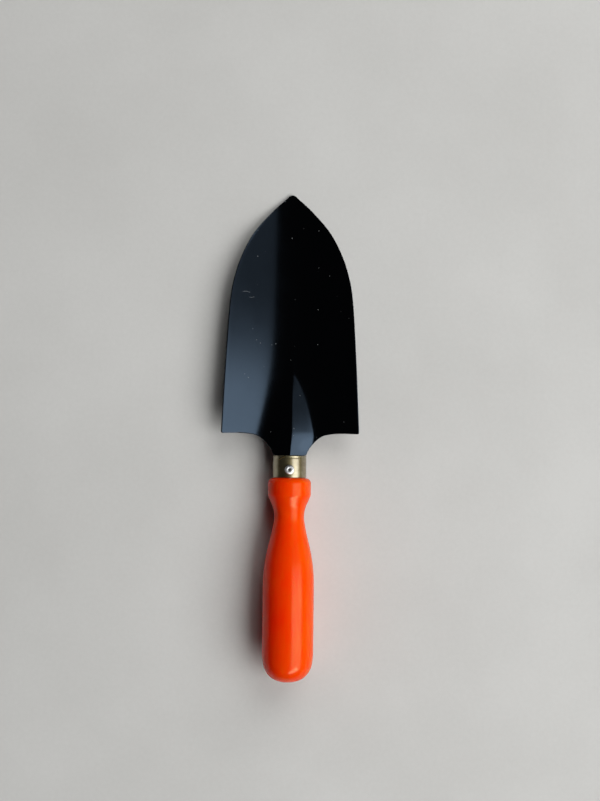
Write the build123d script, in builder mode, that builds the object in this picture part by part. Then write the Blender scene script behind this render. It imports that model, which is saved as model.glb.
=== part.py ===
"""Hand trowel: dished steel blade, ferrule, turned wooden handle and a blind rivet.

Frame: +Y towards the tip of the blade, +Z up out of the dish, X across.
The trowel lies as it does on a table: on the point of its blade and on the handle's collar.
The origin is the middle of the overall box, on the floor.  All sizes in millimetres.
"""
from build123d import *
from math import cos, exp, radians, sin, sqrt, tan
import os

os.makedirs("parts", exist_ok=True)

# Blade, seen from above.
TIP_Y = 132.3            # point of the blade
SHOULDER_Y = 0.7         # rear edge of the blade at its corners
REAR_HALF = 37.5         # half width at the rear corners
CHEEK_HALF = 33.4        # half width where the nearly straight sides begin
CHEEK_BACK = 59.0        # distance of that place behind the tip
REAR_CORNER_R = 1.0
TIP_ROUND = 2.3          # radius of the point
TIP_ANGLE = 47.0         # angle of the edge to the middle line beside the point, degrees
SIDE_SPREAD = 0.049      # how much the sides still spread at the rear corners
NECK_HALF = 8.9          # half width of the neck at the ferrule
NECK_STOP = 0.2          # the wide neck ends this far ahead of the ferrule rim
TANG_HALF = 7.8
TANG_END_HALF = 5.8
TANG_LEN = 20.0          # tang inside ferrule and handle

# Blade, in section.
SHEET = 1.5              # sheet thickness
DISH_R = 55.0            # radius where each wing leaves the bottom of the dish
WING_ANGLE = 16.2        # slope of the straight outer part of each wing, degrees
WING_REACH = 39.5        # the wings are made this wide before the outline is cut
DISH_STATIONS = ((-35.3, 11.0), (40.0, 2.2), (134.3, 0.4))  # y, half width of the level strip
KEEL_RISE = 0.061        # climb of the keel from the tip to the neck
RIDGE_START_Y = 33.0     # where the ridge leaves the dish bottom
RIDGE_HEIGHT = 5.5       # full height of the ridge over the dish bottom
RIDGE_GROWTH = 20.0      # length over which the ridge grows
FLANK_FALL = 0.34        # fall of the ridge flanks per millimetre sideways
NECK_FALL = 0.50         # the same at the ferrule
NECK_START_Y = 8.0       # where the flanks begin to steepen
CREST_R = 2.0            # radius along the top of the ridge
RIDGE_STATIONS = (44, 37, 32, 26, 19, 10, 0, -10, -22, -36)
BELOW = -12.0            # depth to which the helper solids reach
CUT_HEIGHT = 60.0        # height of the prism that cuts the outline

# Handle, ferrule and rivet, along the handle axis from the front rim of the ferrule.
TILT = 4.0               # rise of the handle axis towards the butt, degrees
RIM_Y = -11.3            # front rim of the ferrule on the axis
RIM_Z = 10.7             # height of the axis there
FERRULE_LEN = 12.1
FERRULE_R = 9.1
FERRULE_BORE_R = 8.3
FERRULE_LIP_R = 0.7
SPIGOT_START = 1.2       # the wood stops just inside the rim
COLLAR_R = 11.7
COLLAR_ROUND = 2.9
COLLAR_END = 20.9
WAIST_R = 8.1
WAIST_AT = 32.8
BARREL_R = 13.85
BARREL_START = 69.0
BARREL_END = 103.5
BUTT_END = 121.18
RIVET_AT = 7.7
FLANGE_R = 2.52
FLANGE_TOP = 0.85        # flange above the ferrule
FLANGE_ROUND = 0.45
SHANK_R = 1.2
BULGE_R = 1.7            # the upset end of the sleeve under the tang
MANDREL_R = 0.72
SLEEVE_BOTTOM = -1.6     # inner end of the sleeve, measured up from the handle axis
BULGE_LOW = 0.9          # the bulge, measured up from the inner end of the sleeve
BULGE_HIGH = 1.7
BULGE_TOP = 2.4
MANDREL_HEAD = 0.8       # depth of the pin's head below the sleeve
MANDREL_POINT = 0.4      # and of its blunt point
MANDREL_BREAK = 0.2      # height of the broken cone on the pin
DRILL_START = -5.0       # rivet holes are drilled from here upward
DRILL_LEN = 18.0
MANDREL_SUNK = 0.3       # the broken pin lies this far below the flange top

DRILL_ALIGN = (Align.CENTER, Align.CENTER, Align.MIN)

axis_dir = Vector(0, -cos(radians(TILT)), sin(radians(TILT)))
rim = Vector(0, RIM_Y, RIM_Z)
handle_axis = Axis(rim, axis_dir)
handle_plane = Plane(origin=rim, x_dir=(1, 0, 0), z_dir=axis_dir)
side_plane = Plane(origin=rim, x_dir=axis_dir, z_dir=(-1, 0, 0))
rivet_point = rim + axis_dir * RIVET_AT
rivet_plane = Plane(origin=rivet_point, x_dir=(1, 0, 0), z_dir=axis_dir)
rivet_axis = Axis(rivet_point, rivet_plane.y_dir)
drill_plane = Plane(origin=rivet_point + rivet_plane.y_dir * DRILL_START, x_dir=(1, 0, 0),
                    z_dir=rivet_plane.y_dir)


def keel_height(y):
    """Underside of the blade along its middle, without the ridge."""
    return KEEL_RISE * (TIP_Y - y)


def ridge_rise(y):
    """Height of the crest over the dish bottom; below zero ahead of the ridge."""
    return RIDGE_HEIGHT * (1 - exp((y - RIDGE_START_Y) / RIDGE_GROWTH))


def flank_fall(y):
    """Sideways slope of the ridge flanks."""
    t = min(1.0, max(0.0, (NECK_START_Y - y) / (NECK_START_Y - RIM_Y)))
    return FLANK_FALL + (NECK_FALL - FLANK_FALL) * t * t * (3 - 2 * t)


def roof_outline(peak, radius, fall):
    """Closed roof shape across the blade: flanks that fall by fall, peak rounded to radius."""
    slant = sqrt(1 + fall ** 2)
    touch_x = radius * fall / slant
    touch_z = peak - radius + radius / slant
    foot_x = touch_x + (touch_z - BELOW) / fall
    RadiusArc((0, peak), (touch_x, touch_z), radius)
    Line((touch_x, touch_z), (foot_x, BELOW))
    Line((foot_x, BELOW), (0, BELOW))
    Line((0, BELOW), (0, peak))


def wing_points(flat, radius, keel):
    """Where the arc of a wing ends, and the end of the straight part beyond it."""
    angle = radians(WING_ANGLE)
    arc_x = flat + radius * sin(angle)
    arc_z = keel + SHEET + DISH_R - radius * cos(angle)
    straight = WING_REACH - flat - DISH_R * sin(angle)
    return (arc_x, arc_z), (arc_x + straight, arc_z + straight * tan(angle))


with BuildPart() as ridge_block:
    for y in RIDGE_STATIONS:
        with BuildSketch(Plane.XZ.offset(-y)):
            with BuildLine():
                roof_outline(keel_height(y) + SHEET + ridge_rise(y), CREST_R, flank_fall(y))
            make_face()
            mirror(about=Plane.YZ)
    loft()


with BuildPart() as ridge_core:
    for y in RIDGE_STATIONS:
        with BuildSketch(Plane.XZ.offset(-y)):
            with BuildLine():
                roof_outline(keel_height(y) + ridge_rise(y), CREST_R - SHEET, flank_fall(y))
            make_face()
            mirror(about=Plane.YZ)
    loft()

with BuildPart() as below_dish:
    for y, flat in DISH_STATIONS:
        keel = keel_height(y)
        with BuildSketch(Plane.XZ.offset(-y)):
            with BuildLine():
                arc_end, wing_end = wing_points(flat, DISH_R + SHEET, keel)
                Line((0, keel), (flat, keel))
                TangentArc((flat, keel), arc_end, tangent=(1, 0))
                Polyline(arc_end, wing_end, (wing_end[0], BELOW), (0, BELOW), (0, keel))
            make_face()
            mirror(about=Plane.YZ)
    loft(ruled=True)

with BuildPart() as ridge_shell:
    add(ridge_block.part)
    add(ridge_core.part, mode=Mode.SUBTRACT)
    add(below_dish.part, mode=Mode.SUBTRACT)

with BuildPart() as blade:
    for y, flat in DISH_STATIONS:
        keel = keel_height(y)
        with BuildSketch(Plane.XZ.offset(-y)):
            with BuildLine():
                low_arc, low_end = wing_points(flat, DISH_R + SHEET, keel)
                high_arc, high_end = wing_points(flat, DISH_R, keel)
                Line((0, keel + SHEET), (flat, keel + SHEET))
                TangentArc((flat, keel + SHEET), high_arc, tangent=(1, 0))
                Polyline(high_arc, high_end, low_end, low_arc)
                TangentArc((flat, keel), low_arc, tangent=(1, 0))
                Polyline((flat, keel), (0, keel), (0, keel + SHEET))
            make_face()
            mirror(about=Plane.YZ)
    loft(ruled=True)
    add(ridge_block.part, mode=Mode.SUBTRACT)
    add(ridge_shell.part)
    edge_sin = sin(radians(TIP_ANGLE))
    edge_cos = cos(radians(TIP_ANGLE))
    tip_side = TIP_ROUND * edge_cos
    tip_back = TIP_ROUND * (1 - edge_sin)
    with BuildSketch(Plane.XY.offset(BELOW)) as leaf:
        with BuildLine():
            RadiusArc((0, TIP_Y), (tip_side, TIP_Y - tip_back), TIP_ROUND)
            Spline(
                (tip_side, TIP_Y - tip_back),
                (10.2, TIP_Y - 8.65),
                (21.2, TIP_Y - 22.0),
                (28.1, TIP_Y - 36.0),
                (31.9, TIP_Y - 49.0),
                (CHEEK_HALF, TIP_Y - CHEEK_BACK),
                (35.4, TIP_Y - 89.0),
                (REAR_HALF, SHOULDER_Y),
                tangents=((edge_sin, -edge_cos), (SIDE_SPREAD, -1)),
            )
            # Rear edge: nearly straight, then one long sweep into the neck.
            Spline(
                (REAR_HALF, SHOULDER_Y),
                (27.2, 0.8),
                (21.8, 0.3),
                (18.0, -0.6),
                (15.3, -2.3),
                (13.1, -4.4),
                (10.4, -7.8),
                (NECK_HALF, RIM_Y + NECK_STOP),
            )
            Polyline(
                (NECK_HALF, RIM_Y + NECK_STOP),
                (TANG_HALF, RIM_Y + NECK_STOP),
                (TANG_HALF, RIM_Y - FERRULE_LEN),
                (TANG_END_HALF, RIM_Y - TANG_LEN),
                (0, RIM_Y - TANG_LEN),
                (0, TIP_Y),
            )
        make_face()
        mirror(about=Plane.YZ)
        rear_corners = leaf.vertices().filter_by(lambda v: abs(v.X) > REAR_HALF - 0.1)
        fillet(rear_corners, radius=REAR_CORNER_R)
    extrude(amount=CUT_HEIGHT, mode=Mode.INTERSECT)
    with Locations(drill_plane):
        Cylinder(SHANK_R, DRILL_LEN, align=DRILL_ALIGN, mode=Mode.SUBTRACT)
blade.part.label = "blade"

with BuildPart() as ferrule:
    with BuildSketch(side_plane):
        with BuildLine():
            Polyline(
                (FERRULE_LIP_R, FERRULE_R),
                (FERRULE_LEN, FERRULE_R),
                (FERRULE_LEN, FERRULE_BORE_R),
                (0, FERRULE_BORE_R),
                (0, FERRULE_R - FERRULE_LIP_R),
            )
            RadiusArc((0, FERRULE_R - FERRULE_LIP_R), (FERRULE_LIP_R, FERRULE_R), FERRULE_LIP_R)
        make_face()
    revolve(axis=handle_axis)
    with Locations(drill_plane):
        Cylinder(SHANK_R, DRILL_LEN, align=DRILL_ALIGN, mode=Mode.SUBTRACT)
ferrule.part.label = "ferrule"

with BuildPart() as rivet_body:
    # Flange, hollowed underneath so that it sits on the round ferrule.
    top = FERRULE_R + FLANGE_TOP
    with BuildSketch(rivet_plane):
        with BuildLine():
            Polyline(
                (0, top),
                (FLANGE_R - FLANGE_ROUND, top),
            )
            RadiusArc((FLANGE_R - FLANGE_ROUND, top), (FLANGE_R, top - FLANGE_ROUND), FLANGE_ROUND)
            Polyline(
                (FLANGE_R, top - FLANGE_ROUND),
                (FLANGE_R, FERRULE_BORE_R),
                (0, FERRULE_BORE_R),
                (0, top),
            )
        make_face()
    revolve(axis=rivet_axis)
    with Locations(handle_plane):
        Cylinder(FERRULE_R, FERRULE_LEN, align=DRILL_ALIGN, mode=Mode.SUBTRACT)
    # Sleeve with its upset end.
    with BuildSketch(rivet_plane):
        with BuildLine():
            Polyline(
                (0, FERRULE_R + FLANGE_TOP / 2),
                (SHANK_R, FERRULE_R + FLANGE_TOP / 2),
                (SHANK_R, SLEEVE_BOTTOM + BULGE_TOP),
                (BULGE_R, SLEEVE_BOTTOM + BULGE_HIGH),
                (BULGE_R, SLEEVE_BOTTOM + BULGE_LOW),
                (SHANK_R, SLEEVE_BOTTOM),
                (0, SLEEVE_BOTTOM),
                (0, FERRULE_R + FLANGE_TOP / 2),
            )
        make_face()
    revolve(axis=rivet_axis)
    with Locations(drill_plane):
        Cylinder(MANDREL_R, DRILL_LEN, align=DRILL_ALIGN, mode=Mode.SUBTRACT)
rivet_body.part.label = "rivet_body"

with BuildPart() as rivet_mandrel:
    pin_top = FERRULE_R + FLANGE_TOP - MANDREL_SUNK
    head_end = SLEEVE_BOTTOM - MANDREL_HEAD
    with BuildSketch(rivet_plane):
        with BuildLine():
            Polyline(
                (0, pin_top),
                (MANDREL_R, pin_top - MANDREL_BREAK),
                (MANDREL_R, SLEEVE_BOTTOM),
                (SHANK_R, SLEEVE_BOTTOM),
                (SHANK_R, head_end),
                (MANDREL_R, head_end - MANDREL_POINT),
                (0, head_end - MANDREL_POINT),
                (0, pin_top),
            )
        make_face()
    revolve(axis=rivet_axis)
rivet_mandrel.part.label = "rivet_mandrel"

with BuildPart() as handle:
    with BuildSketch(side_plane):
        with BuildLine():
            Polyline(
                (SPIGOT_START, 0),
                (SPIGOT_START, FERRULE_BORE_R),
                (FERRULE_LEN, FERRULE_BORE_R),
                (FERRULE_LEN, COLLAR_R - COLLAR_ROUND),
            )
            RadiusArc((FERRULE_LEN, COLLAR_R - COLLAR_ROUND),
                      (FERRULE_LEN + COLLAR_ROUND, COLLAR_R), COLLAR_ROUND)
            Line((FERRULE_LEN + COLLAR_ROUND, COLLAR_R), (COLLAR_END, COLLAR_R))
            Spline(
                (COLLAR_END, COLLAR_R),
                (24.5, 10.4),
                (28.0, 8.95),
                (WAIST_AT, WAIST_R),
                (40.6, 9.25),
                (50.3, 11.6),
                (59.3, 13.2),
                (BARREL_START, BARREL_R),
                tangents=((1, 0), (1, 0)),
            )
            Line((BARREL_START, BARREL_R), (BARREL_END, BARREL_R))
            Spline(
                (BARREL_END, BARREL_R),
                (114.0, 12.5),
                (119.1, 8.3),
                (BUTT_END, 0),
                tangents=((1, 0), (0, -1)),
            )
            Line((BUTT_END, 0), (SPIGOT_START, 0))
        make_face()
    revolve(axis=handle_axis)
    add(blade.part, mode=Mode.SUBTRACT)
    add(rivet_body.part, mode=Mode.SUBTRACT)
    add(rivet_mandrel.part, mode=Mode.SUBTRACT)
handle.part.label = "handle"

export_step(blade.part, "parts/blade.step")
export_step(ferrule.part, "parts/ferrule.step")
export_step(handle.part, "parts/handle.step")
export_step(rivet_body.part, "parts/rivet_body.step")
export_step(rivet_mandrel.part, "parts/rivet_mandrel.step")
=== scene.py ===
"""Looks of the hand trowel: pressed black blade, zinc ferrule, blind rivet and lacquered handle."""

from math import cos, exp, pi, radians, sin, sqrt

import bmesh
import bpy
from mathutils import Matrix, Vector


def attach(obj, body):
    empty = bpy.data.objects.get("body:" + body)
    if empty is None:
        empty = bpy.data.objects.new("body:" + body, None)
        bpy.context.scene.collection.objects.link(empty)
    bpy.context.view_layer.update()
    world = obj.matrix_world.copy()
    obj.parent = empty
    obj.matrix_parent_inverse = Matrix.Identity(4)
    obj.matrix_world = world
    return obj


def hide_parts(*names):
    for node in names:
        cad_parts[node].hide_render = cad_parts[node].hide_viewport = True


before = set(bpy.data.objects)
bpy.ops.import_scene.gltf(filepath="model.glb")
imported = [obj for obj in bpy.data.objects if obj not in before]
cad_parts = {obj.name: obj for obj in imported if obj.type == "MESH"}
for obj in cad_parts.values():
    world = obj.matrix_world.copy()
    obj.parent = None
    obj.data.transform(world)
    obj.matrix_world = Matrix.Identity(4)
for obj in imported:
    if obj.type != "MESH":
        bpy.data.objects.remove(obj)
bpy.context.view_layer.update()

MM = 0.001

# ------------------------------------------------------------------ camera
# It looks straight down. Metres and radians, lens and sensor in millimetres.
CAMERA_HEIGHT = 0.555
CAMERA_X = 0.0052
CAMERA_Y = 0.0187
CAMERA_ROLL = 0.0112
LENS = 44.94
SENSOR_WIDTH = 36

camera_data = bpy.data.cameras.new("camera")
camera_data.lens = LENS
camera_data.sensor_width = SENSOR_WIDTH
camera = bpy.data.objects.new("camera", camera_data)
camera.location = (CAMERA_X, CAMERA_Y, CAMERA_HEIGHT)
camera.rotation_euler = (0, 0, CAMERA_ROLL)
bpy.context.collection.objects.link(camera)
bpy.context.scene.camera = camera

# ------------------------------------------------------------------ shape of the blade
# Millimetres. The tip is at +Y, the neck and the handle towards -Y, the keel along X = 0.
TIP_Y = 132.3
REAR_CORNER_R = 1.0       # rounding of the two rear corners
BEND_Y = 16.0             # behind this the rows bend into the shape of the rear edge
SHEET = 1.5               # thickness
LIFT = 0.005              # the under face never comes lower than this
EDGE_ROUND = 0.38         # how far the borders of the upper and lower faces step in at the rim
KEEL_RISE = 0.061         # slope of the keel from the tip to the neck
WING_RISE = 0.33          # slope that the wings tend to
DISH_SOFT = 14.0          # how slowly they reach it
FLAT_TIP = 0.3            # half width of the level keel at the tip
FLAT_SPREAD = 7.2         # and how much it widens towards the neck
FLAT_GROWTH = 28.0
RIDGE_START_Y = 33.0      # front end of the stamped ridge
RIDGE_HEIGHT = 5.5        # what its crest tends to, above the keel
RIDGE_GROWTH = 20.0
FLANK_FALL = 0.34         # slope of the ridge's flanks on the leaf
NECK_FALL = 0.50          # and of the neck's at the ferrule
NECK_START_Y = 1.0        # where they begin to steepen
CREST_SOFT = 0.5
CREST_ASIDE = 0.8         # the crest lies this far to the right, ahead of the neck
VALLEY_SOFT = 1.3
NECK_HALF = 8.9
TANG_HALF = 7.8
TANG_REACH = 6.0          # how far the tang goes behind the neck's end

# Rows and columns of the blade's mesh.
INNER_COLUMNS = 16        # from the middle to the side of the neck
OUTER_COLUMNS = 34        # from there to the edge
INNER_PACKING = 1.3       # above 1 the columns are closer at their start
OUTER_PACKING = 1.15
LEAF_ROWS = 130           # from the tip to BEND_Y
BEND_ROWS = 30            # from there to the rear edge
BEND_PACKING = 1.6
TIP_GAP = 0.02            # distance from the tip to the first row
TANG_GAP = 0.05           # distance from the neck's end to the first row of the tang
CORNER_POWER = 24         # the rear corners' rounding only moves the outermost columns
EDGE_STEPS = ((0.3, 0.3), (0.0, 1.0))     # inward and towards the sheet's middle, in parts of EDGE_ROUND
MERGE = 2e-6              # metres

# Axis of the ferrule and the handle, from the middle of the ferrule's front rim.
TILT = radians(4.0)
RIM = Vector((0, -11.3, 10.7))
AXIS = Vector((0, -cos(TILT), sin(TILT)))
UP = Vector((0, sin(TILT), cos(TILT)))

# Outline of the leaf: distance behind the tip and half width.
LEAF = [(0, 0), (0.62, 1.57), (2.0, 3.05), (8.65, 10.2), (22.0, 21.2), (36.0, 28.1),
        (49.0, 31.9), (59.0, 33.4), (89.0, 35.35), (131.6, 37.37)]
# Outline of the rear edge, from the corner to the neck: half width and y.
REAR = [(37.37, 0.75), (27.2, 0.8), (21.8, 0.3), (18.0, -0.6), (15.3, -2.3), (13.1, -4.4),
        (10.4, -7.8), (8.9, -11.1)]


def ramp(v, soft):
    """Zero before v = 0 and v after it, with a soft bend."""
    return (v + sqrt(v * v + soft * soft)) / 2


def sheet_top(x, y):
    """Upper face of the pressed sheet."""
    level = SHEET + KEEL_RISE * (TIP_Y - y)
    out = max(0.0, abs(x) - FLAT_TIP - FLAT_SPREAD * exp(-max(y, RIM.y) / FLAT_GROWTH))
    dish = level + WING_RISE * (sqrt(out ** 2 + DISH_SOFT ** 2) - DISH_SOFT)
    t = min(1.0, max(0.0, (NECK_START_Y - y) / (NECK_START_Y - RIM.y)))
    fall = FLANK_FALL + (NECK_FALL - FLANK_FALL) * t * t * (3 - 2 * t)
    rise = RIDGE_HEIGHT * (1 - exp((y - RIDGE_START_Y) / RIDGE_GROWTH))
    aside = x - CREST_ASIDE * (1 - t)
    roof = level + rise - fall * (sqrt(aside ** 2 + CREST_SOFT ** 2) - CREST_SOFT)
    return dish + ramp(roof - dish, VALLEY_SOFT)


def sheet_under(x, y):
    """Lower face, one sheet thickness away along the sheet's normal, and never lower than LIFT."""
    d = 0.05              # step that the slopes are measured over
    across = (sheet_top(x + d, y) - sheet_top(x - d, y)) / (2 * d)
    along = (sheet_top(x, y + d) - sheet_top(x, y - d)) / (2 * d)
    return max(LIFT, sheet_top(x, y) - SHEET * sqrt(1 + across ** 2 + along ** 2))


def curve_through(points, count, tangents=None):
    """Smooth curve through points in the plane, in count steps between each pair.

    tangents gives the directions at the two ends; None leaves an end free.
    """
    n = len(points)
    pts = [Vector(p) for p in points]
    knots = [0.0]
    for a, b in zip(pts, pts[1:]):
        knots.append(knots[-1] + sqrt((b - a).length))
    grads = []
    for i in range(n):
        if 0 < i < n - 1:
            h0 = knots[i] - knots[i - 1]
            h1 = knots[i + 1] - knots[i]
            g = ((pts[i] - pts[i - 1]) / h0 * h1 + (pts[i + 1] - pts[i]) / h1 * h0) / (h0 + h1)
        elif i == 0:
            g = (pts[1] - pts[0]) / (knots[1] - knots[0])
        else:
            g = (pts[-1] - pts[-2]) / (knots[-1] - knots[-2])
        grads.append(g)
    if tangents:
        for i, t in ((0, tangents[0]), (n - 1, tangents[1])):
            if t is not None:
                grads[i] = Vector(t).normalized() * grads[i].length
    out = []
    for i in range(n - 1):
        h = knots[i + 1] - knots[i]
        for j in range(count):
            t = j / count
            a = 2 * t ** 3 - 3 * t ** 2 + 1
            b = t ** 3 - 2 * t ** 2 + t
            c = -2 * t ** 3 + 3 * t ** 2
            d = t ** 3 - t ** 2
            out.append(a * pts[i] + b * h * grads[i] + c * pts[i + 1] + d * h * grads[i + 1])
    out.append(pts[-1])
    return out


def read_off(line, at):
    """Second coordinate of a curve where its first coordinate is at."""
    for a, b in zip(line, line[1:]):
        if min(a.x, b.x) <= at <= max(a.x, b.x):
            t = (at - a.x) / (b.x - a.x) if b.x != a.x else 0
            return a.y + t * (b.y - a.y)
    return line[-1].y if abs(at - line[-1].x) < abs(at - line[0].x) else line[0].y


leaf_line = curve_through(LEAF, 40, tangents=((0, 1), None))
rear_line = curve_through(REAR, 20)


def new_object(name, bm, smooth=True):
    """Object made from a bmesh, which is freed."""
    mesh = bpy.data.meshes.new(name)
    bmesh.ops.recalc_face_normals(bm, faces=bm.faces)
    bm.to_mesh(mesh)
    bm.free()
    for poly in mesh.polygons:
        poly.use_smooth = smooth
    obj = bpy.data.objects.new(name, mesh)
    bpy.context.collection.objects.link(obj)
    return obj


def build_blade():
    """Closed sheet: rows along the blade, columns across it, an upper and a lower skin and a rim."""
    # Columns as fractions of the half width.
    share = NECK_HALF / LEAF[-1][1]
    fractions = [share * (k / INNER_COLUMNS) ** INNER_PACKING for k in range(INNER_COLUMNS + 1)]
    fractions += [share + (1 - share) * (k / OUTER_COLUMNS) ** OUTER_PACKING
                  for k in range(1, OUTER_COLUMNS + 1)]
    rows = []
    for i in range(LEAF_ROWS + 1):
        t = i / LEAF_ROWS
        # The rows are closer together near the tip.
        back = (TIP_Y - BEND_Y) * (0.4 * t * t + 0.6 * t) if i else TIP_GAP
        half = read_off(leaf_line, back)
        rows.append([(f * half, TIP_Y - back) for f in fractions])
    for i in range(1, BEND_ROWS + 1):
        t = 1 - (1 - i / BEND_ROWS) ** BEND_PACKING
        row = []
        # How far this row is past the start of the rounded corner, and how much that takes off.
        past = max(0.0, REAR_CORNER_R - (1 - t) * (BEND_Y - REAR[0][1]))
        inset = REAR_CORNER_R - sqrt(REAR_CORNER_R ** 2 - past ** 2)
        for f in fractions:
            x = f * LEAF[-1][1]
            end = read_off(rear_line, x) if x > NECK_HALF else REAR[-1][1]
            y = BEND_Y + t * (end - BEND_Y)
            half = read_off(leaf_line, min(LEAF[-1][0], TIP_Y - y))
            row.append((f * half - inset * f ** CORNER_POWER, y))
        rows.append(row)
    full = len(rows)
    for y in (REAR[-1][1] - TANG_GAP, REAR[-1][1] - TANG_REACH):
        rows.append([(TANG_HALF * f / share, y) for f in fractions[:INNER_COLUMNS + 1]])

    bm = bmesh.new()
    skins = []
    for height in (sheet_top, sheet_under):
        skin = []
        for row in rows:
            whole = [(-x, y) for x, y in reversed(row[1:])] + row
            skin.append([bm.verts.new((x * MM, y * MM, height(x, y) * MM)) for x, y in whole])
        skins.append(skin)
    # Faces of each skin, and the loop of vertices round its border.
    loops = []
    for skin in skins:
        for a, b in zip(skin, skin[1:]):
            trim = (len(a) - len(b)) // 2       # the tang's rows are shorter
            a = a[trim:len(a) - trim]
            for k in range(len(a) - 1):
                bm.faces.new((a[k], a[k + 1], b[k + 1], b[k]))
        last = skin[full - 1]
        loop = [row[-1] for row in skin[:full]]
        loop += list(reversed(last[-1 - OUTER_COLUMNS:-1]))
        loop += [row[-1] for row in skin[full:]]
        loop += list(reversed(skin[-1]))[1:-1]
        loop += [row[0] for row in reversed(skin[full:])]
        loop += list(reversed(last[1:OUTER_COLUMNS + 1]))
        loop += [row[0] for row in reversed(skin[:full])]
        loop += list(skin[0])[1:-1]
        loops.append(loop)
    # The rim: the skins' borders step in a little and two rounded edges join them.
    count = len(loops[0])
    outline = [v.co.copy() for v in loops[0]]
    under = [v.co.copy() for v in loops[1]]
    r = EDGE_ROUND * MM
    bands = []
    for to_middle, loop, base in ((-1, loops[0], outline), (1, loops[1], under)):
        inward = []
        for k in range(count):
            way = base[(k + 1) % count] - base[k - 1]
            side = Vector((way.y, -way.x, 0))
            inward.append(side.normalized() if side.length > 0 else Vector((0, -1, 0)))
        for step_in, step_middle in EDGE_STEPS:
            shift = Vector((0, 0, to_middle * r * step_middle))
            bands.append([bm.verts.new(base[k] + inward[k] * r * step_in + shift) for k in range(count)])
        for k in range(count):
            loop[k].co = base[k] + inward[k] * r
    chain = [loops[0], bands[0], bands[1], bands[3], bands[2], loops[1]]
    for a, b in zip(chain, chain[1:]):
        for k in range(count):
            n = (k + 1) % count
            bm.faces.new((a[k], a[n], b[n], b[k]))
    bmesh.ops.remove_doubles(bm, verts=bm.verts, dist=MERGE)
    return new_object("blade_sheet", bm)


blade = build_blade()


ON_AXIS = 1e-6            # millimetres; a smaller radius is a single point


def lathe(name, profile, segments, origin=RIM, axis=AXIS, close=True):
    """Solid of revolution of (along, radius) points about an axis.

    close joins the last ring to the first, for a tube; without it both ends lie on the axis.
    """
    up = UP if abs(axis.dot(UP)) < 0.5 else -AXIS
    across = axis.cross(up)
    bm = bmesh.new()
    rings = []
    for s, r in profile:
        centre = origin + axis * s
        if r < ON_AXIS:
            rings.append([bm.verts.new(centre * MM)])
            continue
        ring = []
        for k in range(segments):
            a = 2 * pi * k / segments
            ring.append(bm.verts.new((centre + (up * cos(a) + across * sin(a)) * r) * MM))
        rings.append(ring)
    pairs = list(zip(rings, rings[1:]))
    if close:
        pairs.append((rings[-1], rings[0]))
    for a, b in pairs:
        if len(a) == 1 and len(b) == 1:
            continue
        for k in range(segments):
            n = (k + 1) % segments
            if len(a) == 1:
                bm.faces.new((a[0], b[n], b[k]))
            elif len(b) == 1:
                bm.faces.new((a[k], a[n], b[0]))
            else:
                bm.faces.new((a[k], a[n], b[n], b[k]))
    return new_object(name, bm)


def arc(cx, cy, r, a0, a1, steps):
    """Points of an arc from angle a0 to a1 in degrees."""
    out = []
    for i in range(steps + 1):
        a = radians(a0 + (a1 - a0) * i / steps)
        out.append((cx + r * cos(a), cy + r * sin(a)))
    return out


# ------------------------------------------------------------------ handle
# Stations behind the ferrule's front rim and radii, millimetres.
SPIGOT_START = 1.2
SPIGOT_R = 8.27
SPIGOT = [(SPIGOT_START, 0), (SPIGOT_START, 4), (SPIGOT_START, 7.9), (1.5, SPIGOT_R), (11.5, SPIGOT_R),
          (12.0, SPIGOT_R), (12.15, 8.4)]
COLLAR_START = 12.2
COLLAR_ROUND = 2.9
COLLAR_END = 20.9
COLLAR_R = 11.7
WAIST = [(24.5, 10.4), (28.0, 8.95), (32.8, 8.1), (40.6, 9.25), (50.3, 11.6), (59.3, 13.2)]
BARREL_START = 69.0
BARREL_END = 103.5
BARREL_R = 13.85
BUTT = [(114.0, 12.5), (119.1, 8.3), (121.15, 0)]
ALONG = (1, 0)            # direction of the outline where it runs along the axis
INWARD = (0, -1)          # and where it meets the axis


def straight(start, end, radius, steps):
    """Points between the ends of a cylindrical stretch, without the ends."""
    return [(start + (end - start) * i / steps, radius) for i in range(1, steps)]


round_end = COLLAR_START + COLLAR_ROUND
profile = SPIGOT + arc(round_end, COLLAR_R - COLLAR_ROUND, COLLAR_ROUND, 180, 90, 14)
profile += straight(round_end, COLLAR_END, COLLAR_R, 8)
waist = curve_through([(COLLAR_END, COLLAR_R), *WAIST, (BARREL_START, BARREL_R)], 8,
                      tangents=(ALONG, ALONG))
profile += [(p.x, p.y) for p in waist]
profile += straight(BARREL_START, BARREL_END, BARREL_R, 24)
butt = curve_through([(BARREL_END, BARREL_R), *BUTT], 12, tangents=(ALONG, INWARD))
profile += [(p.x, max(0, p.y)) for p in butt]
handle = lathe("handle_turned", profile, 160, close=False)

# ------------------------------------------------------------------ ferrule
# A tube with a softly rolled front lip and a shallow groove behind it.
FERRULE_LEN = 12.1
FERRULE_R = 9.1
FERRULE_BORE_R = 8.3
LIP_ROUND = 0.55
LIP_GROOVE = ((0.85, 0.02), (1.05, 0.13), (1.25, 0.14), (1.55, 0.03))     # station, depth
WALL_START = 1.9
WALL_END = FERRULE_LEN - 0.2
REAR_FACE = FERRULE_LEN - 0.02
REAR_ROUND = 0.16
ring = [(0.25, FERRULE_BORE_R - 0.02), (0.0, FERRULE_BORE_R + 0.15)]
ring += arc(LIP_ROUND, FERRULE_R - LIP_ROUND, LIP_ROUND, 180, 90, 8)
ring += [(station, FERRULE_R - depth) for station, depth in LIP_GROOVE]
ring += [(WALL_START + (WALL_END - WALL_START) * i / 12, FERRULE_R) for i in range(13)]
ring += [(REAR_FACE, FERRULE_R - REAR_ROUND), (REAR_FACE, FERRULE_BORE_R)]
ferrule = lathe("ferrule_tube", ring, 144)

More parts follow.
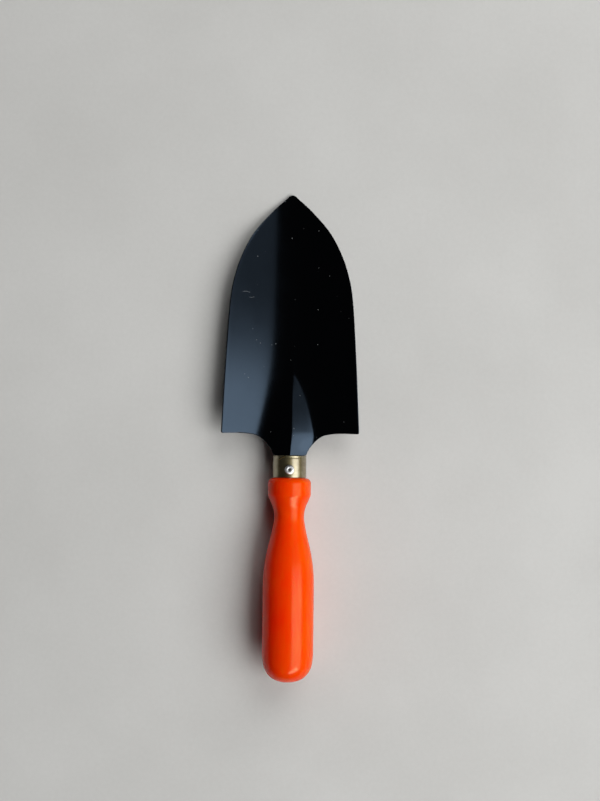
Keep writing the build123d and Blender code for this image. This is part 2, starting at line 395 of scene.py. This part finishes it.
# ------------------------------------------------------------------ rivet
# Heights above the ferrule's axis and radii. The shank ends just inside the ferrule.
RIVET_AT = 7.7            # behind the front rim
SHANK_END = 7.6
SHANK_R = 1.2
SLEEVE_BORE_R = 0.74
FLANGE_TOP = FERRULE_R + 0.83
FLANGE_R = 2.5
FLANGE = ((0.3, SLEEVE_BORE_R), (0.12, 0.86), (0.02, 1.05), (0, 1.3), (0.02, 1.7), (0.12, 2.1),
          (0.26, 2.34), (0.45, 2.47), (0.62, FLANGE_R))                    # depth below the top, radius
FLANGE_FOOT = [(FERRULE_BORE_R + 0.35, FLANGE_R), (FERRULE_BORE_R + 0.3, 2.3)]     # in the ferrule's wall
PIN_TOP = FERRULE_R + 0.52
PIN_R = 0.71
PIN_END = [(PIN_TOP - 0.12, PIN_R), (PIN_TOP, 0.55), (PIN_TOP - 0.05, 0.3), (PIN_TOP + 0.05, 0.12),
           (PIN_TOP + 0.02, 0)]           # broken off a little unevenly

rivet_origin = RIM + AXIS * RIVET_AT
head = [(SHANK_END, SLEEVE_BORE_R)]
head += [(FLANGE_TOP - depth, radius) for depth, radius in FLANGE]
head += [*FLANGE_FOOT, (SHANK_END, SHANK_R)]
rivet = lathe("rivet_head", head, 64, origin=rivet_origin, axis=UP)
pin = lathe("rivet_pin", [(SHANK_END, 0), (SHANK_END, PIN_R), *PIN_END], 32,
            origin=rivet_origin, axis=UP, close=False)

# ------------------------------------------------------------------ materials


class Nodes:
    """Small helper that builds a material's node tree, in object coordinates."""

    def __init__(self, name):
        self.material = bpy.data.materials.new(name)
        self.material.use_nodes = True
        self.tree = self.material.node_tree
        self.shader = self.tree.nodes["Principled BSDF"]
        self.coords = self.tree.nodes.new("ShaderNodeTexCoord").outputs["Object"]

    def add(self, kind, **values):
        node = self.tree.nodes.new(kind)
        for key, value in values.items():
            setattr(node, key, value)
        return node

    def link(self, out, into):
        self.tree.links.new(out, into)

    def mapping(self, scale, rotation=(0, 0, 0)):
        node = self.add("ShaderNodeMapping")
        node.inputs["Scale"].default_value = scale
        node.inputs["Rotation"].default_value = rotation
        self.link(self.coords, node.inputs["Vector"])
        return node.outputs["Vector"]

    def noise(self, scale, vector=None, detail=4.0, roughness=0.55):
        node = self.add("ShaderNodeTexNoise")
        node.inputs["Scale"].default_value = scale
        node.inputs["Detail"].default_value = detail
        node.inputs["Roughness"].default_value = roughness
        self.link(vector or self.coords, node.inputs["Vector"])
        return node.outputs["Fac"]

    def ramp(self, value, stops):
        """Color ramp; stops are pairs of position and color."""
        node = self.add("ShaderNodeValToRGB")
        elements = node.color_ramp.elements
        while len(elements) < len(stops):
            elements.new(0.5)
        for element, (position, color) in zip(elements, stops):
            element.position = position
            element.color = (*color, 1)
        self.link(value, node.inputs["Fac"])
        return node.outputs["Color"]

    def range(self, value, low_in, high_in, low, high):
        """Value brought from the range low_in...high_in to the range low...high, and held inside it."""
        node = self.add("ShaderNodeMapRange")
        node.inputs["From Min"].default_value = low_in
        node.inputs["From Max"].default_value = high_in
        node.inputs["To Min"].default_value = low
        node.inputs["To Max"].default_value = high
        self.link(value, node.inputs["Value"])
        return node.outputs["Result"]

    def math(self, operation, *values):
        node = self.add("ShaderNodeMath", operation=operation)
        for socket, value in zip(node.inputs, values):
            if isinstance(value, (int, float)):
                socket.default_value = value
            else:
                self.link(value, socket)
        return node.outputs["Value"]

    def mix(self, factor, a, b):
        node = self.add("ShaderNodeMix", data_type="RGBA")
        self.link(factor, node.inputs["Factor"])
        colors = [s for s in node.inputs if s.type == "RGBA"]
        for socket, value in zip(colors, (a, b)):
            if isinstance(value, tuple):
                socket.default_value = (*value, 1)
            else:
                self.link(value, socket)
        return [s for s in node.outputs if s.type == "RGBA"][0]

    def bump(self, height, strength, distance, below=None):
        """Bumped normal; below is a bump that this one lies on, distance is in metres."""
        node = self.add("ShaderNodeBump")
        node.inputs["Strength"].default_value = strength
        node.inputs["Distance"].default_value = distance
        self.link(height, node.inputs["Height"])
        if below:
            self.link(below, node.inputs["Normal"])
        return node.outputs["Normal"]

    def specks(self, scale, size, chosen):
        """Sparse round dust specks of uneven strength, in the Voronoi cells whose red is over chosen."""
        node = self.add("ShaderNodeTexVoronoi")
        node.inputs["Scale"].default_value = scale
        self.link(self.coords, node.inputs["Vector"])
        near = self.range(node.outputs["Distance"], size, size * 1.6, 1.0, 0.0)
        split = self.add("ShaderNodeSeparateColor")
        self.link(node.outputs["Color"], split.inputs["Color"])
        pick = self.math("GREATER_THAN", split.outputs["Red"], chosen)
        strength = self.math("MULTIPLY", split.outputs["Green"], split.outputs["Green"])
        return self.math("MULTIPLY", self.math("MULTIPLY", near, pick), strength)

    def arc_mark(self, x, y, radius, start, stop, width):
        """Mask of a thin arc, the same at every height; millimetres and degrees."""
        split = self.add("ShaderNodeSeparateXYZ")
        self.link(self.coords, split.inputs["Vector"])
        dx = self.math("SUBTRACT", split.outputs["X"], x * MM)
        dy = self.math("SUBTRACT", split.outputs["Y"], y * MM)
        squares = self.math("ADD", self.math("MULTIPLY", dx, dx), self.math("MULTIPLY", dy, dy))
        off = self.math("ABSOLUTE", self.math("SUBTRACT", self.math("SQRT", squares), radius * MM))
        thin = self.range(off, width * MM * 0.4, width * MM, 1.0, 0.0)
        angle = self.math("ARCTAN2", dy, dx)
        after = self.math("GREATER_THAN", angle, radians(start))
        before = self.math("LESS_THAN", angle, radians(stop))
        return self.math("MULTIPLY", thin, self.math("MULTIPLY", after, before))

    def set(self, **values):
        """Numbers and colors go straight on the shader's sockets, outputs are linked to them."""
        for key, value in values.items():
            socket = self.shader.inputs[key.replace("_", " ")]
            if isinstance(value, (int, float, tuple)):
                socket.default_value = value
            else:
                self.link(value, socket)


# Faint marks on the left wing: centre, radius, first and last angle.
SCRATCHES = (
    (-25.0, 73.5, 4.5, 60, 112),
    (-22.0, 78.0, 3.2, -110, -60),
)
SCRATCH_WIDTH = 0.09
SCRATCH_STRENGTH = 0.6
PAINT_COLOR = (0.0005, 0.0004, 0.0004)
DUST_COLOR = (0.26, 0.26, 0.25)

ZINC_STOPS = ((0.30, (0.20, 0.15, 0.06)), (0.55, (0.27, 0.22, 0.10)), (0.75, (0.36, 0.32, 0.18)))
# The notch on the ferrule is painted on: a bright highlight line and a dark shadow line beside it.
NICK_HIGHLIGHT_COLOR = (0.72, 0.48, 0.14)
NICK_SHADOW_COLOR = (0.02, 0.014, 0.005)

# These stops give the lacquer's random tone, and their red end also serves as painted shade on the handle's
# left.
LACQUER_AND_SHADE_STOPS = ((0.32, (0.94, 0.014, 0.0004)), (0.5, (0.88, 0.048, 0.0004)), (0.68, (0.82, 0.086, 0.0004)))
PORE_COLOR = (0.75, 0.025, 0.0006)
SHADE_BLEND_HALF = 0.012        # metres to each side over which the painted shade, red on the left, turns to the lit orange on the right

ALUMINIUM_STOPS = ((0.3, (0.60, 0.60, 0.59)), (0.7, (0.88, 0.88, 0.87)))
MANDREL_STOPS = ((0.35, (0.03, 0.028, 0.026)), (0.7, (0.14, 0.13, 0.12)))
FLOOR_STOPS = ((0.35, (0.56, 0.545, 0.52)), (0.65, (0.62, 0.605, 0.58)))


def paint_material():
    """Gloss black paint on pressed steel, with sparse dust, faint scratches and orange peel."""
    m = Nodes("blade_paint")
    peel = m.noise(scale=700, detail=2)
    wave = m.noise(scale=30, detail=2)
    cover = m.math("MAXIMUM", m.specks(scale=480, size=0.08, chosen=0.92),
                   m.specks(scale=170, size=0.03, chosen=0.86))
    for x, y, radius, start, stop in SCRATCHES:
        mark = m.arc_mark(x, y, radius, start, stop, SCRATCH_WIDTH)
        cover = m.math("MAXIMUM", cover, m.math("MULTIPLY", mark, SCRATCH_STRENGTH))
    clean = m.range(m.noise(scale=60, detail=4), 0.35, 0.7, 0.13, 0.17)
    # Painted light colour: the bluish Specular Tint stands for bluish sky light in the black paint's
    # reflections.
    m.set(Base_Color=m.mix(cover, PAINT_COLOR, DUST_COLOR),
          Roughness=m.math("ADD", clean, m.math("MULTIPLY", cover, 0.5)),
          Normal=m.bump(peel, strength=0.03, distance=0.00004,
                        below=m.bump(wave, strength=0.04, distance=0.0006)),
          IOR=1.47, Specular_Tint=(0.51, 0.72, 1.0, 1))
    return m.material


def ferrule_material():
    """Yellow zinc on thin steel, lightly brushed round the tube, with a small notch at the front left that
    exists only as a painted highlight line and a painted shadow line beside it.
    """
    m = Nodes("ferrule_zinc")
    bands = m.noise(60, m.mapping((1, 40, 1)), detail=3)
    cloud = m.noise(scale=220, detail=5, roughness=0.65)
    # Painted highlight: a bright line where the notch's edge would catch the light, with a painted shadow
    # line beside it.
    nick_highlight = m.arc_mark(x=0.9, y=-20.85, radius=10.0, start=110, stop=131, width=0.22)
    color = m.mix(nick_highlight, m.ramp(cloud, ZINC_STOPS), NICK_HIGHLIGHT_COLOR)
    shadow = m.arc_mark(x=0.55, y=-20.6, radius=10.0, start=108, stop=128, width=0.2)
    color = m.mix(m.math("MULTIPLY", shadow, 0.85), color, NICK_SHADOW_COLOR)
    m.set(Base_Color=color, Roughness=m.range(bands, 0.3, 0.7, 0.36, 0.48), Metallic=1.0,
          Normal=m.bump(bands, strength=0.12, distance=0.00008),
          Coat_Weight=1.0, Coat_Roughness=0.24, Coat_IOR=1.95)
    return m.material


def lacquer_material():
    """Orange-red gloss lacquer over turned wood, with painted shade: redder on the left, more orange on the
    lit right.
    """
    m = Nodes("handle_lacquer")
    along = m.mapping((1, 0.06, 1), rotation=(TILT, 0, 0))
    grain = m.noise(700, along, detail=6, roughness=0.6)
    broad = m.noise(scale=55, detail=3)
    pores = m.range(m.noise(1500, along, detail=3), 0.62, 0.74, 0.0, 1.0)
    split = m.add("ShaderNodeSeparateXYZ")
    m.link(m.coords, split.inputs["Vector"])
    # Painted shade: the colour runs from the shaded red on the left to the lit orange on the right, across
    # the handle's middle.
    side = m.range(split.outputs["X"], -SHADE_BLEND_HALF, SHADE_BLEND_HALF, 0.13, 0.42)
    tone = m.math("ADD", m.math("MULTIPLY", grain, 0.20), m.math("MULTIPLY", broad, 0.25))
    tone = m.math("ADD", tone, side)
    shade = m.mix(m.math("MULTIPLY", pores, 0.2), m.ramp(tone, LACQUER_AND_SHADE_STOPS), PORE_COLOR)
    m.set(Base_Color=shade, Roughness=m.range(broad, 0.3, 0.7, 0.15, 0.21),
          Normal=m.bump(broad, strength=0.06, distance=0.0006,
                        below=m.bump(grain, strength=0.05, distance=0.00010)),
          Specular_IOR_Level=0.2, Specular_Tint=(1.0, 0.95, 0.5, 1),
          Subsurface_Weight=0.5, Subsurface_Radius=(1.0, 0.08, 0.03), Subsurface_Scale=0.008)
    return m.material


def aluminium_material():
    """Dull aluminium of the rivet's sleeve and flange."""
    m = Nodes("rivet_aluminium")
    marks = m.noise(scale=1500, detail=4, roughness=0.7)
    m.set(Base_Color=m.ramp(marks, ALUMINIUM_STOPS), Metallic=1.0,
          Roughness=m.range(marks, 0.3, 0.7, 0.42, 0.58),
          Normal=m.bump(marks, strength=0.15, distance=0.00006))
    return m.material


def mandrel_material():
    """Dark broken steel of the pin."""
    m = Nodes("mandrel_steel")
    marks = m.noise(scale=2600, detail=5, roughness=0.8)
    m.set(Base_Color=m.ramp(marks, MANDREL_STOPS), Metallic=0.8,
          Roughness=m.range(marks, 0.3, 0.7, 0.45, 0.7),
          Normal=m.bump(marks, strength=0.4, distance=0.0001))
    return m.material


def floor_material():
    """Plain pale studio floor."""
    m = Nodes("floor")
    fine = m.noise(scale=420, detail=6, roughness=0.7)
    broad = m.noise(scale=9, detail=4)
    tone = m.math("ADD", m.math("MULTIPLY", fine, 0.3), m.math("MULTIPLY", broad, 0.7))
    m.set(Base_Color=m.ramp(tone, FLOOR_STOPS), Roughness=0.85,
          Normal=m.bump(fine, strength=0.05, distance=0.0003))
    return m.material


pieces = (
    (blade, "blade", "blade_paint", paint_material()),
    (ferrule, "ferrule", "ferrule_zinc", ferrule_material()),
    (handle, "handle", "handle_lacquer", lacquer_material()),
    (rivet, "rivet_body", "rivet_aluminium", aluminium_material()),
    (pin, "rivet_mandrel", "mandrel_steel", mandrel_material()),
)
for piece, node, slot, material in pieces:
    piece.data.materials.append(material)
    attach(piece, "root")
    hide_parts(node)

# ------------------------------------------------------------------ floor and light

LIGHT_COLOR = (0.97, 0.99, 1.0)
FLOOR_HALF = 3.0          # metres


def build_floor():
    bm = bmesh.new()
    corners = ((-1, -1), (1, -1), (1, 1), (-1, 1))
    bm.faces.new([bm.verts.new((sx * FLOOR_HALF, sy * FLOOR_HALF, 0)) for sx, sy in corners])
    obj = new_object("floor", bm, smooth=False)
    obj.data.materials.append(floor_material())


build_floor()


def area_light(name, azimuth, zenith, distance, width, height, power, target=(0, 0, 0)):
    """Rectangular soft light that faces target; degrees, metres and watts, azimuth 0 is +X."""
    data = bpy.data.lights.new(name, "AREA")
    data.shape = "RECTANGLE"
    data.size = width
    data.size_y = height
    data.energy = power
    data.color = LIGHT_COLOR
    obj = bpy.data.objects.new(name, data)
    a, t = radians(azimuth), radians(zenith)
    way = Vector((sin(t) * cos(a), sin(t) * sin(a), cos(t)))
    obj.location = Vector(target) + way * distance
    obj.rotation_euler = way.to_track_quat("Z", "Y").to_euler()
    bpy.context.collection.objects.link(obj)
    return obj


WINDOW_ZENITH = 40        # degrees
WINDOW_DISTANCE = 2.2
WINDOW_HEIGHT = 1.8
# Strips of the window light on the right: from y, to y and radiance. It fades towards the blade's tip.
WINDOW_PANELS = (
    (-2.20, -0.50, 4.2),
    (-0.50, -0.13, 5.2),
    (-0.13, 0.22, 4.1),
    (0.22, 0.31, 3.4),
    (0.31, 0.38, 2.3),
    (0.38, 0.44, 1.1),
    (0.44, 0.62, 0.45),
    (0.62, 0.80, 0.40),
    (0.80, 1.10, 0.55),
)

for index, (y_from, y_to, radiance) in enumerate(WINDOW_PANELS):
    area_light(f"window_{index}", 0, WINDOW_ZENITH, WINDOW_DISTANCE, y_to - y_from, WINDOW_HEIGHT,
               power=radiance * pi * (y_to - y_from) * WINDOW_HEIGHT, target=(0, (y_from + y_to) / 2, 0))

# Soft light from beyond the tip, not seen in reflections.
sky = area_light("skylight", azimuth=65, zenith=50, distance=2.0, width=1.3, height=1.3, power=18)
sky.visible_glossy = False

# Panel behind the handle, seen only in reflections.
back = area_light("back_panel", azimuth=-62, zenith=54, distance=2.0, width=1.2, height=0.5, power=22.0)
back.visible_diffuse = False

WORLD_COLOR = (0.95, 0.97, 1.0, 1)
WORLD_STRENGTH = 0.02
world = bpy.data.worlds.new("world")
world.use_nodes = True
world.node_tree.nodes["Background"].inputs["Color"].default_value = WORLD_COLOR
world.node_tree.nodes["Background"].inputs["Strength"].default_value = WORLD_STRENGTH
bpy.context.scene.world = world
bpy.context.scene.view_settings.view_transform = "Standard"
